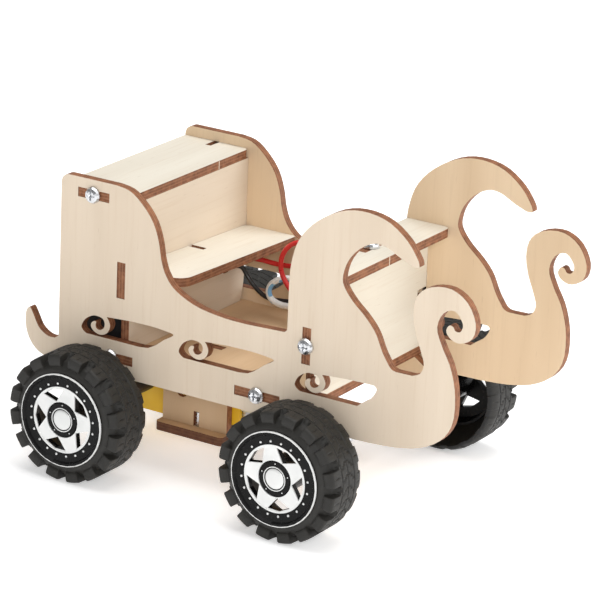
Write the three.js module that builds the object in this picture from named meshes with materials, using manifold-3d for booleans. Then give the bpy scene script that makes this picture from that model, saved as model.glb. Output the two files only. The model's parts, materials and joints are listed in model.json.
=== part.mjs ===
// Laser-cut plywood chariot car: two scroll-edged side plates, cross panels, a geared rear axle and a
// free-running front axle. Millimetres, +X forward, +Y to the car's left, +Z up, ground at z = 0.
import * as THREE from 'three';
import { mergeVertices } from 'three/addons/utils/BufferGeometryUtils.js';
import Module from 'manifold-3d';

const wasm = await Module();
wasm.setup();

// ---------------------------------------------------------------- driving dimensions
const PLY = 3; // plywood thickness
const FIT = 0.1; // clearance round a tab, a shank or a panel's end
const INNER_Y = 33.9; // side plate's inner face
const OUTER_Y = INNER_Y + PLY;
const REAR_AXLE_X = -52.9; // puts the origin under the middle of the whole car
const WHEELBASE = 81; // the rear axle is x = 0 inside the car's own group
const AXLE_Z = 21.5; // also the tyre's radius

const FLOOR_Z = 36.2; // undersides of the level panels
const SEAT_Z = 64.2;
const HOOD_Z = 78.2;
const ROOF_Z = 89.4;
const TRUNK_X = -17.5; // rear edges of the side plates, floor and roof
const BACKREST_X = 5.1; // rear faces of the upright cross panels
const FRONT_PANEL_X = 75.7;
const HOOD_X = [70.4, 86.6];
const SEAT_FRONT_X = 28.2;
const SEAT_ROLL = -2.1; // degrees about its one screw; the right side sits higher

const TAB = 12; // width of a short tab
const LONG_TAB = 16.8; // width of the floor's tabs
const ROOF_TAB_X = -4.8; // tab centres along x
const FLOOR_TAB_X = [3.4, 59.7];
const UPRIGHT_TAB_Z = { backrest: 64.4, front: 58.2 };

const SCREW = { shank: 1, head: 2.75, headHeight: 1.9, length: 8 }; // one self-tapping screw throughout
const CHANNEL = SCREW.shank + FIT; // half width of the slit that each screw bites into

const MOUNT_Y = 9.5; // inner face of the motor mounting plates
const MOUNT_X = [7.9, 33.1];
const BASE_Z = 7.3; // underside of the plate below the gear motor
const BASE_Y = 16.2;
const HANGER_Y = 29; // inner face of the front axle's hangers

const GEARBOX = { x: [-11.5, 25.6], cheekX: 36, y: 9.4, z: [10.4, 32.6] };
const SHAFT_R = 2.7; // double-flat output shaft
const SHAFT_FLAT = 1.85; // half the distance across its flats
const ROD_R = 1.5; // front axle rod

const TYRE_R = AXLE_Z;
const TYRE_Y = [40.6, 58.2]; // inner and outer edges of the tread
const FACE_Y = 59.35; // outermost plane of a wheel
const RIM_R = 15.3;
const STAR_POINTS = 5;

// ---------------------------------------------------------------- materials
const paint = (color, roughness, metalness = 0) =>
  new THREE.MeshStandardMaterial({ color, roughness, metalness });
const WOOD = () => paint(0xe2cba6, 0.7);
const RUBBER = () => paint(0x2b2a29, 0.85);
const BLACK = () => paint(0x111111, 0.35);
const SILVER = () => paint(0xdfe1e3, 0.3, 0.6);
const STEEL = () => paint(0xb9bcc0, 0.3, 1);
const YELLOW = () => paint(0xe0ae25, 0.45);
const WHITE = () => paint(0xe9e7df, 0.5);
const wire = (color) => paint(color, 0.45);

// ---------------------------------------------------------------- solid helpers
function toSolid(geometry) {
  const bare = geometry.index ? geometry.toNonIndexed() : geometry.clone();
  bare.deleteAttribute('normal');
  bare.deleteAttribute('uv');
  const merged = mergeVertices(bare, 1e-5);
  const mesh = new wasm.Mesh({
    numProp: 3,
    vertProperties: new Float32Array(merged.attributes.position.array),
    triVerts: new Uint32Array(merged.index.array),
  });
  return new wasm.Manifold(mesh);
}

function toGeometry(solid) {
  const mesh = solid.getMesh();
  const geometry = new THREE.BufferGeometry();
  geometry.setAttribute('position', new THREE.BufferAttribute(mesh.vertProperties, 3));
  geometry.setIndex(new THREE.BufferAttribute(mesh.triVerts, 1));
  return geometry;
}

const join = (first, ...rest) => rest.reduce((sum, solid) => sum.add(solid), first);
const cut = (first, ...rest) => rest.reduce((left, solid) => left.subtract(solid), first);

// Box from its limits along each axis.
function box(x, y, z) {
  const geometry = new THREE.BoxGeometry(x[1] - x[0], y[1] - y[0], z[1] - z[0]);
  geometry.translate((x[0] + x[1]) / 2, (y[0] + y[1]) / 2, (z[0] + z[1]) / 2);
  return toSolid(geometry);
}

// Drawing planes: a shape's own x, y and its depth become these axes of the car.
const PLANES = {
  xy: [[1, 0, 0], [0, 1, 0], [0, 0, 1]],
  xz: [[1, 0, 0], [0, 0, 1], [0, -1, 0]],
  yz: [[0, 1, 0], [0, 0, 1], [1, 0, 0]],
};

// Extrudes a shape drawn in a plane; start is the lowest place along the plane's normal axis.
function extrude(shape, plane, start, depth, curveSegments = 5) {
  const geometry = new THREE.ExtrudeGeometry(shape, { depth, bevelEnabled: false, curveSegments });
  const axes = PLANES[plane].map((axis) => new THREE.Vector3(...axis));
  geometry.applyMatrix4(new THREE.Matrix4().makeBasis(...axes));
  const shift = plane === 'xz' ? start + depth : start;
  geometry.translate(plane === 'yz' ? shift : 0, plane === 'xz' ? shift : 0, plane === 'xy' ? shift : 0);
  return toSolid(geometry);
}

// Solid of revolution about the Y axis through (x, z); the profile's points are [radius, y].
function turned(profile, x, z, segments) {
  const points = profile.map(([radius, y]) => new THREE.Vector2(radius, y));
  const geometry = new THREE.LatheGeometry(points, segments);
  geometry.translate(x, 0, z);
  let solid = toSolid(geometry);
  if (solid.volume() < 0) {
    geometry.index.array.reverse();
    solid = toSolid(geometry);
  }
  return solid;
}

const vectors = (points) => points.map(([x, y]) => new THREE.Vector2(x, y));
const disc = (radius, y) => [[0, y[0]], [radius, y[0]], [radius, y[1]], [0, y[1]]];

// Rectangle with each corner rounded, drawn from its limits; round lists the four corner radii.
function rounded([x0, x1], [y0, y1], round) {
  const [a, b, c, d] = Array.isArray(round) ? round : [round, round, round, round];
  const shape = new THREE.Shape();
  shape.moveTo(x0 + a, y0);
  shape.lineTo(x1 - b, y0);
  if (b) shape.absarc(x1 - b, y0 + b, b, -Math.PI / 2, 0);
  shape.lineTo(x1, y1 - c);
  if (c) shape.absarc(x1 - c, y1 - c, c, 0, Math.PI / 2);
  shape.lineTo(x0 + d, y1);
  if (d) shape.absarc(x0 + d, y1 - d, d, Math.PI / 2, Math.PI);
  shape.lineTo(x0, y0 + a);
  if (a) shape.absarc(x0 + a, y0 + a, a, Math.PI, Math.PI * 1.5);
  return shape;
}

const car = new THREE.Group();
car.position.x = REAR_AXLE_X;

function add(name, solid, material) {
  const mesh = new THREE.Mesh(toGeometry(solid), material);
  mesh.name = name;
  car.add(mesh);
  return mesh;
}

const SIDES = { right: -1, left: 1 };
const span = (side, near, far) => (side > 0 ? [near, far] : [-far, -near]);

// ---------------------------------------------------------------- side plates
function sideOutline() {
  const outline = new THREE.Shape();
  outline.moveTo(TRUNK_X, 40.3);
  outline.lineTo(TRUNK_X, 92.9);
  outline.absarc(TRUNK_X + 3, 92.9, 3, Math.PI, Math.PI / 2, true);
  outline.lineTo(4, 95.9);
  // swept shoulder down to the cockpit's sill
  outline.splineThru(vectors([[9.5, 94.9], [14.5, 91.2], [18.5, 86.3], [20.8, 80.4], [22, 74.4],
    [24, 69.6], [28, 65.5], [36, 62.1], [46, 60.6], [55, 60.4]]));
  outline.lineTo(68.5, 61);
  outline.absarc(68.5, 62.5, 1.5, -Math.PI / 2, 0);
  outline.lineTo(70, 78);
  // horn
  outline.splineThru(vectors([[70.6, 84.9], [73.2, 92.7], [79, 99.3], [87.5, 104.4], [96, 106],
    [104.5, 104.5], [111.3, 100], [115.2, 95.1], [116.1, 92.8], [115.6, 92.2], [114, 92.2]]));
  outline.splineThru(vectors([[109.5, 93.9], [104.5, 96.3], [100, 96.6], [94.8, 93.8], [90.9, 89],
    [89.3, 83.5], [90.2, 80.2], [93.5, 76.3], [98, 72.5], [101.9, 68.1], [104.7, 62.4], [107.4, 58.4]]));
  outline.quadraticCurveTo(108.4, 57.2, 110, 57.2);
  outline.lineTo(115.5, 57.3);
  // mouth, neck and curl
  outline.splineThru(vectors([[118.3, 58.6], [119.5, 61.7], [118.2, 65.9], [115.9, 71.7], [114.8, 78],
    [116, 83.4], [120.2, 86.9], [127.3, 88], [133.3, 85], [136.6, 79], [135.7, 73.8], [131.6, 71.4],
    [128.2, 72.2], [126.6, 74.3], [127.5, 76.3], [128.9, 76.2], [129.8, 75], [131.6, 75.2],
    [132.2, 77.9], [129.2, 81.3], [125.2, 79.6], [123.4, 74.6], [125.4, 69.2], [128.8, 63],
    [130.9, 55], [130.7, 45.5], [127, 39], [120, 34.7], [111, 32.6], [101, 31.8]]));
  outline.lineTo(92, 31.6);
  outline.lineTo(-18, 31.6);
  // tail hook
  outline.splineThru(vectors([[-24.5, 32.6], [-28.5, 35.7], [-30.6, 40.2], [-30.8, 45.4], [-29.4, 47.6],
    [-28, 45.9], [-25.4, 41.4], [-22, 39.3], [-19, 39.2]]));
  outline.lineTo(TRUNK_X, 40.3);
  return outline;
}

// Scroll window with a wooden curl hanging into it. Its own origin is its bottom left corner.
function scrollWindow(x, z, bluntTip) {
  const tip = bluntTip
    ? [[27.5, 8.1], [29.3, 7.7], [29.6, 6.4], [27.8, 3.6], [24.6, 1.3]]
    : [[27, 8], [32, 7.7], [35.9, 7], [32.4, 4.6], [28.9, 1.9], [26.2, 0.4]];
  const round = [[0.5, 0.9], [0, 2.3], [1.5, 4.9], [4.3, 6.6], [6.4, 6.8], [8.3, 6.3], [9.1, 4.8], [8.6, 3.1],
    [7.2, 2.3], [6, 2.5], [5.5, 3.5], [5.7, 4.8], [4.6, 4.7], [3.7, 3.6], [4, 2.2], [5.8, 0.9], [8.2, 0.8],
    [10.3, 2.1], [11.2, 4.4], [10.6, 6.2], [9.8, 7.2]];
  const place = (points) => vectors(points.map(([u, v]) => [x + u, z + v]));
  const hole = new THREE.Shape();
  hole.moveTo(x + 10.2, z + 7.3);
  hole.lineTo(x + 18.8, z + 7.9);
  hole.splineThru(place(tip));
  hole.lineTo(x + 23, z);
  hole.lineTo(x + 2, z);
  hole.splineThru(place(round));
  return hole;
}

const LEAD_HOLE = { y: 22.5, z: 55.5, radius: 4 };
const WINDOWS = [[-8.4, 43.6, false], [29.7, 43.8, false], [73.6, 42.9, true]];

// Tab slots of a side plate as [centre x, centre z, half width, half height].
const THIN = PLY / 2 + FIT;
const SLOTS = [
  [ROOF_TAB_X, ROOF_Z + PLY / 2, TAB / 2 + FIT, THIN],
  [FLOOR_TAB_X[0], FLOOR_Z + PLY / 2, LONG_TAB / 2 + FIT, THIN],
  [FLOOR_TAB_X[1], FLOOR_Z + PLY / 2, LONG_TAB / 2 + FIT, THIN],
  [BACKREST_X + PLY / 2, UPRIGHT_TAB_Z.backrest, THIN, TAB / 2 + FIT],
  [FRONT_PANEL_X + PLY / 2, UPRIGHT_TAB_Z.front, THIN, TAB / 2 + FIT],
];

function sidePlate(side) {
  const y = span(side, INNER_Y, OUTER_Y);
  const through = [y[0] - 1, y[1] + 1];
  const openings = WINDOWS.map((window) => extrude(scrollWindow(...window), 'xz', through[0], PLY + 2, 3));
  const slots = SLOTS.map(([x, z, half, tall]) => box([x - half, x + half], through, [z - tall, z + tall]));
  return cut(extrude(sideOutline(), 'xz', y[0], PLY, 3), ...openings, ...slots);
}

for (const [name, side] of Object.entries(SIDES)) add(`side_plate_${name}`, sidePlate(side), WOOD());

// ---------------------------------------------------------------- cross panels
const PANEL_Y = INNER_Y - FIT;
const acrossY = [-PANEL_Y, PANEL_Y];
const tabY = (side) => span(side, PANEL_Y - 1, OUTER_Y - 0.2);

// Slit for a screw lying along y, in a panel whose middle is at (x, z).
function screwSlit(side, x, z, level) {
  const reach = span(side, OUTER_Y - SCREW.length - 0.3, OUTER_Y + 1);
  const [dx, dz] = level ? [CHANNEL, PLY] : [PLY, CHANNEL];
  return box([x - dx, x + dx], reach, [z - dz, z + dz]);
}

function levelTab(side, x, z, width) {
  return box([x - width / 2, x + width / 2], tabY(side), [z, z + PLY]);
}

function uprightTab(side, x, z) {
  return box([x, x + PLY], tabY(side), [z - TAB / 2, z + TAB / 2]);
}

function roofPanel() {
  const frontX = BACKREST_X + PLY;
  let panel = extrude(rounded([TRUNK_X, frontX], acrossY, [1, 2, 2, 1]), 'xy', ROOF_Z, PLY);
  for (const side of [-1, 1]) {
    panel = join(panel, levelTab(side, ROOF_TAB_X, ROOF_Z, TAB));
    panel = cut(panel, screwSlit(side, ROOF_TAB_X, ROOF_Z + PLY / 2, true));
  }
  return panel;
}

// The backrest runs from floor to roof; its lower left corner is eased and a hole passes the leads.
function backrestPanel() {
  const bottom = FLOOR_Z + PLY + FIT;
  const outline = new THREE.Shape();
  outline.moveTo(-PANEL_Y, bottom);
  outline.lineTo(31.9, bottom);
  outline.quadraticCurveTo(33.4, bottom + 3, PANEL_Y, bottom + 10);
  outline.lineTo(PANEL_Y, ROOF_Z - FIT);
  outline.lineTo(-PANEL_Y, ROOF_Z - FIT);
  const leadHole = new THREE.Path();
  leadHole.absarc(LEAD_HOLE.y, LEAD_HOLE.z, LEAD_HOLE.radius, 0, Math.PI * 2);
  outline.holes.push(leadHole);
  const seatHole = new THREE.Path();
  seatHole.absarc(SEAT_SCREW_Y, SEAT_Z + PLY / 2, CHANNEL, 0, Math.PI * 2);
  outline.holes.push(seatHole);
  let panel = extrude(outline, 'yz', BACKREST_X, PLY);
  for (const side of [-1, 1]) panel = join(panel, uprightTab(side, BACKREST_X, UPRIGHT_TAB_Z.backrest));
  return panel;
}

const SEAT_SCREW_Y = 0;

function seatPanel() {
  const rearX = BACKREST_X + PLY + FIT;
  const panel = extrude(rounded([rearX, SEAT_FRONT_X], acrossY, [2, 5, 1.5, 3]), 'xy', SEAT_Z, PLY);
  const slit = box([rearX - 1, BACKREST_X + SCREW.length + 1],
    [SEAT_SCREW_Y - CHANNEL, SEAT_SCREW_Y + CHANNEL],
    [SEAT_Z - 1, SEAT_Z + PLY + 1]);
  const middle = SEAT_Z + PLY / 2;
  return cut(panel, slit).translate([0, 0, -middle]).rotate([SEAT_ROLL, 0, 0]).translate([0, 0, middle]);
}

const WIRE_HOLE = { x: 50, y: 6, radius: 4 };

function floorPanel() {
  const shape = rounded([TRUNK_X, FRONT_PANEL_X + PLY], acrossY, 0.6);
  const wireHole = new THREE.Path();
  wireHole.absarc(WIRE_HOLE.x, WIRE_HOLE.y, WIRE_HOLE.radius, 0, Math.PI * 2);
  shape.holes.push(wireHole);
  let panel = extrude(shape, 'xy', FLOOR_Z, PLY, 8);
  for (const side of [-1, 1]) {
    for (const x of FLOOR_TAB_X) {
      panel = join(panel, levelTab(side, x, FLOOR_Z, LONG_TAB));
      panel = cut(panel, screwSlit(side, x, FLOOR_Z + PLY / 2, true));
    }
    for (const tab of mountTabs(side)) panel = cut(panel, tab(FIT));
    panel = cut(panel, hangerTab(side, FIT));
  }
  return panel;
}

function frontPanel() {
  const z = [FLOOR_Z + PLY + FIT, HOOD_Z - FIT];
  let panel = box([FRONT_PANEL_X, FRONT_PANEL_X + PLY], acrossY, z);
  const tongue = [z[1] - 1, HOOD_Z + PLY - 0.2];
  panel = join(panel, box([FRONT_PANEL_X, FRONT_PANEL_X + PLY], [-TAB / 2, TAB / 2], tongue));
  for (const side of [-1, 1]) {
    panel = join(panel, uprightTab(side, FRONT_PANEL_X, UPRIGHT_TAB_Z.front));
    panel = cut(panel, screwSlit(side, FRONT_PANEL_X + PLY / 2, UPRIGHT_TAB_Z.front, false));
  }
  const through = [FRONT_PANEL_X - 1, FRONT_PANEL_X + PLY + 1];
  return cut(panel, box(through, [-CHANNEL, CHANNEL], [HOOD_Z + PLY - SCREW.length - 0.3, HOOD_Z + PLY + 1]));
}

function hoodPanel() {
  const shape = rounded(HOOD_X, acrossY, [1, 2, 2, 1]);
  const panel = extrude(shape, 'xy', HOOD_Z, PLY);
  const slotX = [FRONT_PANEL_X - FIT, FRONT_PANEL_X + PLY + FIT];
  return cut(panel, box(slotX, [-TAB / 2 - FIT, TAB / 2 + FIT], [HOOD_Z - 1, HOOD_Z + PLY + 1]));
}

// ---------------------------------------------------------------- plates below the floor
const MOUNT_TAB_X = [[11, 17], [24, 30]];

function mountTabs(side) {
  return MOUNT_TAB_X.map((x) => (gap) => box([x[0] - gap, x[1] + gap],
    span(side, MOUNT_Y - gap, MOUNT_Y + PLY + gap), [FLOOR_Z - 1, FLOOR_Z + PLY - 0.2 + gap * 5]));
}

const MOUNT_SLOT = { x: 21.2, half: CHANNEL, top: BASE_Z + SCREW.length + 0.3 };
const PEG_HOLE = { x: 15.3, z: 21.5, radius: 2.1 };

function mountPlate(side) {
  const bottom = BASE_Z + PLY + FIT;
  const shape = rounded(MOUNT_X, [bottom, FLOOR_Z - FIT], 0);
  const hole = new THREE.Path();
  hole.absarc(PEG_HOLE.x, PEG_HOLE.z, PEG_HOLE.radius, 0, Math.PI * 2);
  shape.holes.push(hole);
  const y = span(side, MOUNT_Y, MOUNT_Y + PLY);
  let plate = extrude(shape, 'xz', y[0], PLY, 8);
  for (const tab of mountTabs(side)) plate = join(plate, tab(0));
  const { x, half, top } = MOUNT_SLOT;
  return cut(plate, box([x - half, x + half], [y[0] - 1, y[1] + 1], [bottom - 1, top]));
}

function basePlate() {
  const x = [MOUNT_X[0] - 0.6, MOUNT_X[1] + 0.6];
  const shape = rounded(x, [-BASE_Y, BASE_Y], 1.5);
  for (const side of [-1, 1]) {
    const hole = new THREE.Path();
    hole.absarc(MOUNT_SLOT.x, side * (MOUNT_Y + PLY / 2), CHANNEL, 0, Math.PI * 2);
    shape.holes.push(hole);
  }
  return extrude(shape, 'xy', BASE_Z, PLY, 6);
}

const HANGER_TAB_X = [64, 74];

function hangerTab(side, gap) {
  return box([HANGER_TAB_X[0] - gap, HANGER_TAB_X[1] + gap],
    span(side, HANGER_Y - gap, HANGER_Y + PLY + gap), [FLOOR_Z - 1, FLOOR_Z + PLY - 0.2 + gap * 5]);
}

// Hanger that carries the front axle rod in a round eye.
function hangerPlate(side) {
  const eye = 6.5;
  const shape = new THREE.Shape();
  shape.moveTo(61, FLOOR_Z - FIT);
  shape.lineTo(61, FLOOR_Z - 4);
  shape.lineTo(WHEELBASE - eye, AXLE_Z);
  shape.absarc(WHEELBASE, AXLE_Z, eye, Math.PI, Math.PI * 2);
  shape.lineTo(WHEELBASE + eye, FLOOR_Z - 6);
  shape.lineTo(FRONT_PANEL_X + PLY, FLOOR_Z - FIT);
  const hole = new THREE.Path();
  hole.absarc(WHEELBASE, AXLE_Z, ROD_R + FIT, 0, Math.PI * 2);
  shape.holes.push(hole);
  const y = span(side, HANGER_Y, HANGER_Y + PLY);
  return join(extrude(shape, 'xz', y[0], PLY, 10), hangerTab(side, 0));
}

add('roof_panel', roofPanel(), WOOD());
add('backrest_panel', backrestPanel(), WOOD());
add('seat_panel', seatPanel(), WOOD());
add('floor_panel', floorPanel(), WOOD());
add('front_panel', frontPanel(), WOOD());
add('hood_panel', hoodPanel(), WOOD());
add('motor_base_plate', basePlate(), WOOD());
for (const [name, side] of Object.entries(SIDES)) {
  add(`motor_mount_${name}`, mountPlate(side), WOOD());
  add(`axle_hanger_${name}`, hangerPlate(side), WOOD());
}

// ---------------------------------------------------------------- gear motor and rear shaft
const MOTOR = { x: [25.8, 51], radius: 10.1, flat: 7.6 };
const SHAFT_TIP_Y = 18.5;

function gearbox() {
  const [x0, x1] = GEARBOX.x;
  const [z0, z1] = GEARBOX.z;
  const bevel = 3;
  const shape = new THREE.Shape(vectors([[x0 + bevel, z0], [x1, z0], [x1, z1], [x0 + bevel, z1],
    [x0, z1 - bevel], [x0, z0 + bevel]]));
  const shaftHole = new THREE.Path();
  shaftHole.absarc(0, AXLE_Z, SHAFT_R + 0.25, 0, Math.PI * 2);
  shape.holes.push(shaftHole);
  let body = extrude(shape, 'xz', -GEARBOX.y, 2 * GEARBOX.y, 12);
  const cheekZ = [AXLE_Z - 8.5, AXLE_Z + 8.5];
  for (const side of [-1, 1]) {
    body = join(body, box([x1 - 1, GEARBOX.cheekX], span(side, MOTOR.flat + 0.3, GEARBOX.y), cheekZ));
    const peg = turned(disc(1.9, span(side, GEARBOX.y - 1, GEARBOX.y + 1.6)), PEG_HOLE.x, PEG_HOLE.z, 20);
    body = join(body, peg);
  }
  return body;
}

// Motor can: a cylinder along x with two flats, closed by a plastic end cap.
function motorSection(radius, flat) {
  const angle = Math.acos(flat / radius);
  const shape = new THREE.Shape();
  shape.absarc(0, AXLE_Z, radius, angle, Math.PI - angle);
  shape.absarc(0, AXLE_Z, radius, Math.PI + angle, 2 * Math.PI - angle);
  return shape;
}

add('gearbox_housing', gearbox(), YELLOW());
const canLength = MOTOR.x[1] - MOTOR.x[0];
add('motor_can', extrude(motorSection(MOTOR.radius, MOTOR.flat), 'yz', MOTOR.x[0], canLength), STEEL());
const motorCap = extrude(motorSection(MOTOR.radius - 0.3, MOTOR.flat - 0.2), 'yz', MOTOR.x[1] + FIT, 2.4);
const brushBoss = new THREE.CylinderGeometry(3, 3, 3, 20).rotateZ(Math.PI / 2);
brushBoss.translate(MOTOR.x[1] + 3.4, 0, AXLE_Z);
add('motor_end_cap', join(motorCap, toSolid(brushBoss)), WHITE());

// Strap that hooks the motor to the gearbox: a flat band over the can's end and along both flats.
function motorStrap() {
  const width = [AXLE_Z - 3, AXLE_Z + 3];
  const reach = [GEARBOX.cheekX + 0.3, MOTOR.x[1] + 6.2];
  const y = MOTOR.flat + 0.3;
  const side = (s) => box(reach, span(s, y, y + 1), width);
  const end = box([reach[1] - 1, reach[1]], [-y - 1, y + 1], width);
  return join(side(-1), side(1), end);
}
add('motor_strap', motorStrap(), WHITE());

function doubleFlat(y, gap) {
  const round = turned(disc(SHAFT_R + gap, y), 0, AXLE_Z, 20);
  const slab = box([-SHAFT_R - 1, SHAFT_R + 1], y, [AXLE_Z - SHAFT_FLAT - gap, AXLE_Z + SHAFT_FLAT + gap]);
  return round.intersect(slab);
}

// The shaft stays round inside the housing and has flats outside it.
function outputShaft() {
  const inside = turned(disc(SHAFT_R, [-GEARBOX.y - 0.4, GEARBOX.y + 0.4]), 0, AXLE_Z, 20);
  return join(inside, doubleFlat([-SHAFT_TIP_Y, SHAFT_TIP_Y], 0));
}
add('output_shaft', outputShaft(), WHITE());

const SLEEVE = { y: [10.6, 50], radius: 3.4, tip: 2.7 };
for (const [name, side] of Object.entries(SIDES)) {
  const sleeve = turned(disc(SLEEVE.radius, span(side, SLEEVE.y[0], 43.8)), 0, AXLE_Z, 20);
  const tip = turned(disc(SLEEVE.tip, span(side, 43, SLEEVE.y[1])), 0, AXLE_Z, 20);
  const socket = doubleFlat(span(side, SLEEVE.y[0] - 1, SHAFT_TIP_Y + 0.5), FIT);
  add(`axle_sleeve_${name}`, cut(join(sleeve, tip), socket), WHITE());
}

// ---------------------------------------------------------------- front axle
const ROD_TIP_Y = 55.5;
add('front_axle_rod', turned(disc(ROD_R, [-ROD_TIP_Y, ROD_TIP_Y]), WHEELBASE, AXLE_Z, 24), STEEL());

// ---------------------------------------------------------------- wheels
const LUGS = 16;
const LUG_WIDTH = 5.4;
const WINDOW = { inner: 6.25, outer: 10.4, half: 0.41 };
const HUB_R = 5.9;
const STAR_R = 10.9;
const STAR_THICK = 0.4;
const BARREL_Y = 51.8; // the rim's inner edge, where the tyre's hollow back starts to flare

function tyre(side, x) {
  const [inner, outer] = TYRE_Y;
  const bead = RIM_R + 0.15;
  const carcass = TYRE_R - 1.6;
  const profile = [[bead, BARREL_Y], [TYRE_R - 2.1, inner + 3.8], [TYRE_R - 1.9, inner + 0.5],
    [TYRE_R - 1.2, inner], [TYRE_R - 0.4, inner + 1], [TYRE_R - 0.1, inner + 2.4], [TYRE_R - 0.1, outer - 7.4],
    [TYRE_R - 0.5, outer - 4.4], [carcass, outer - 2.4], [bead + 2, outer + 0.3], [bead, outer + 0.4],
    [bead, BARREL_Y]];
  let solid = turned(profile.map(([r, y]) => [r, side * y]), x, AXLE_Z, 48);
  const lug = new THREE.BoxGeometry(LUG_WIDTH, 7.2, 3.6);
  lug.translate(0, side * (outer - 3.6), TYRE_R - 1.97);
  for (let i = 0; i < LUGS; i += 1) {
    const copy = lug.clone().rotateY(((i + 0.5) / LUGS) * Math.PI * 2).translate(x, 0, AXLE_Z);
    solid = join(solid, toSolid(copy));
  }
  return solid;
}

// The windows between the spokes, each a wedge that points at the hub.
function starWindows(side, x, turn) {
  const { inner, outer, half } = WINDOW;
  const wedges = [];
  for (let i = 0; i < STAR_POINTS; i += 1) {
    const middle = turn + (i * Math.PI * 2) / STAR_POINTS;
    const at = (radius, angle) => [
      x + radius * Math.cos(middle + angle),
      AXLE_Z + radius * Math.sin(middle + angle),
    ];
    const corners = [at(inner, 0), at(outer, -half), at(outer + 0.2, 0), at(outer, half)];
    const wedge = new THREE.Shape(vectors(corners));
    const y = span(side, FACE_Y - 5, FACE_Y + 1);
    wedges.push(extrude(wedge, 'xz', y[0], y[1] - y[0]));
  }
  return wedges;
}

// Black rim: a short barrel open towards the car, a face with a sunken ring for the star, and a long hub.
function rim(side, x, boreRadius, turn) {
  const barrel = RIM_R;
  const bed = FACE_Y - 1.4;
  const profile = [[boreRadius, 44], [HUB_R, 44], [HUB_R, bed - 1.8], [barrel - 1.6, bed - 1.8],
    [barrel - 0.8, BARREL_Y], [barrel, BARREL_Y], [barrel, FACE_Y], [barrel - 0.7, FACE_Y],
    [barrel - 1.2, FACE_Y - 0.7], [STAR_R + 0.15, FACE_Y - 0.9], [STAR_R + 0.15, bed], [HUB_R, bed],
    [HUB_R - 0.3, FACE_Y - 0.9], [boreRadius, FACE_Y - 0.9], [boreRadius, 44]];
  const solid = turned(profile.map(([r, y]) => [r, side * y]), x, AXLE_Z, 32);
  return cut(solid, ...starWindows(side, x, turn));
}

// Bright star insert let into the rim's face, with the same windows.
function starInsert(side, x, turn) {
  const bed = FACE_Y - 1.4;
  const ring = turned(disc(STAR_R, span(side, bed + 0.1, bed + 0.1 + STAR_THICK)), x, AXLE_Z, 32);
  const hub = turned(disc(HUB_R + 0.1, span(side, bed - 1, bed + 2)), x, AXLE_Z, 32);
  return cut(ring, hub, ...starWindows(side, x, turn));
}

// Axle position, bore radius and how far each wheel happens to be turned, right then left.
const AXLES = [
  ['front', WHEELBASE, ROD_R + FIT, { right: -0.11, left: 0.17 }],
  ['rear', 0, SLEEVE.tip + FIT, { right: -0.56, left: 0.9 }],
];
for (const [end, x, bore, turns] of AXLES) {
  for (const [name, side] of Object.entries(SIDES)) {
    add(`tyre_${end}_${name}`, tyre(side, x), RUBBER());
    add(`rim_${end}_${name}`, rim(side, x, bore, turns[name]), BLACK());
    add(`star_${end}_${name}`, starInsert(side, x, turns[name]), SILVER());
  }
}

// ---------------------------------------------------------------- fasteners
// Pan-head screw with a cross recess, standing on z = 0 with its shank down.
function screwSolid() {
  const { shank, head, headHeight, length } = SCREW;
  const crown = new THREE.Shape();
  crown.moveTo(0, 0);
  crown.lineTo(head, 0);
  crown.lineTo(head, headHeight * 0.35);
  crown.quadraticCurveTo(head * 0.9, headHeight, 0, headHeight);
  const outline = crown.getPoints(3);
  outline.push(new THREE.Vector2(0, 0));
  const cap = toSolid(new THREE.LatheGeometry(outline, 18).rotateX(Math.PI / 2));
  const rod = new THREE.CylinderGeometry(shank, shank, length, 10);
  const stem = toSolid(rod.rotateX(Math.PI / 2).translate(0, 0, 0.05 - length / 2));
  const slot = [-head * 0.55, head * 0.55];
  const thin = [-head * 0.12, head * 0.12];
  const deep = [headHeight * 0.45, headHeight + 1];
  return cut(join(cap, stem), box(slot, thin, deep), box(thin, slot, deep));
}

function placed(name, solid, material, position, rotation) {
  const mesh = add(name, solid, material);
  mesh.position.set(...position);
  mesh.rotation.set(...rotation);
}

const outward = (side) => [side > 0 ? -Math.PI / 2 : Math.PI / 2, 0, 0];
const SIDE_SCREWS = {
  roof: [ROOF_TAB_X, ROOF_Z + PLY / 2],
  front_panel: [FRONT_PANEL_X + PLY / 2, UPRIGHT_TAB_Z.front],
  floor_rear: [FLOOR_TAB_X[0], FLOOR_Z + PLY / 2],
  floor_front: [FLOOR_TAB_X[1], FLOOR_Z + PLY / 2],
};
for (const [name, side] of Object.entries(SIDES)) {
  for (const [place, [x, z]] of Object.entries(SIDE_SCREWS)) {
    const head = side * (OUTER_Y + 0.1);
    placed(`screw_${place}_${name}`, screwSolid(), STEEL(), [x, head, z], outward(side));
  }
  const base = [MOUNT_SLOT.x, side * (MOUNT_Y + PLY / 2), BASE_Z - 0.1];
  placed(`screw_base_${name}`, screwSolid(), STEEL(), base, [Math.PI, 0, 0]);
}
placed('screw_hood', screwSolid(), STEEL(), [FRONT_PANEL_X + PLY / 2, 0, HOOD_Z + PLY + 0.1], [0, 0, 0]);
const seatScrew = [BACKREST_X - 0.1, SEAT_SCREW_Y, SEAT_Z + PLY / 2];
placed('screw_seat', screwSolid(), STEEL(), seatScrew, [0, -Math.PI / 2, 0]);

// ---------------------------------------------------------------- battery box, switch and receiver
const BOX = { x: [-16.4, 2.8], y: [-29.5, 29.5], z: [FLOOR_Z + PLY + FIT, 71] };
const WALL = 1.4;
const SWITCH = { y: 18, z: 60, travel: 3 };

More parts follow.
